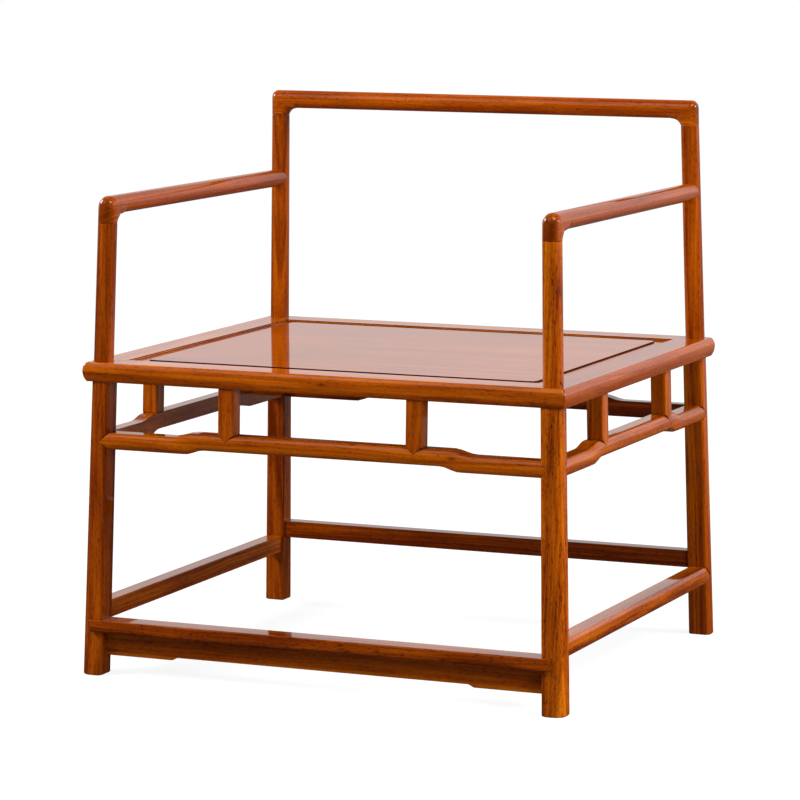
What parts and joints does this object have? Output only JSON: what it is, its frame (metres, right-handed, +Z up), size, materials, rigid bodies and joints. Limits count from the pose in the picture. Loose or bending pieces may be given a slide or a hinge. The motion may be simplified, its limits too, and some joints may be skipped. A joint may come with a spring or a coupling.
{
  "type": "tea chair",
  "caption": "Low, wide rosewood armchair: mitred panel seat, splayed legs that rise as round posts, round crest and arm rails, humpback rails, stretchers and a footrest.",
  "frame": {"origin": "on the floor, under the middle of the chair's outline", "axes": "+Z up, -Y towards the front of the chair, +X towards the chair's right side as seen from in front"},
  "size_m": [0.705, 0.629, 0.7672],
  "materials": {
    "leg_rosewood": "lacquered rosewood, orange brown with dark straight grain, glossy",
    "round_rail_rosewood": "lacquered rosewood, warm orange brown with fine grain, glossy",
    "seat_rosewood": "lacquered rosewood, orange brown with broad grain, glossy",
    "rail_rosewood": "lacquered rosewood, orange brown with dark streaks, glossy",
    "batten_rosewood": "planed rosewood without lacquer, matte"
  },
  "bodies": {
    "root": {"leg_front_left": "leg_rosewood", "leg_front_right": "leg_rosewood", "leg_rear_left": "leg_rosewood", "leg_rear_right": "leg_rosewood", "crest_rail": "round_rail_rosewood", "arm_rail_left": "round_rail_rosewood", "arm_rail_right": "round_rail_rosewood", "seat_rail_front": "seat_rosewood", "seat_rail_rear": "seat_rosewood", "seat_rail_left": "seat_rosewood", "seat_rail_right": "seat_rosewood", "seat_panel": "seat_rosewood", "seat_batten_left": "batten_rosewood", "seat_batten_right": "batten_rosewood", "humpback_rail_front": "rail_rosewood", "humpback_rail_rear": "rail_rosewood", "humpback_rail_left": "rail_rosewood", "humpback_rail_right": "rail_rosewood", "strut_front_left": "rail_rosewood", "strut_front_right": "rail_rosewood", "strut_rear_left": "rail_rosewood", "strut_rear_right": "rail_rosewood", "strut_left_front": "rail_rosewood", "strut_left_rear": "rail_rosewood", "strut_right_front": "rail_rosewood", "strut_right_rear": "rail_rosewood", "stretcher_left": "rail_rosewood", "stretcher_right": "rail_rosewood", "stretcher_rear": "rail_rosewood", "footrest": "rail_rosewood", "footrest_apron": "rail_rosewood"}
  },
  "joints": []
}
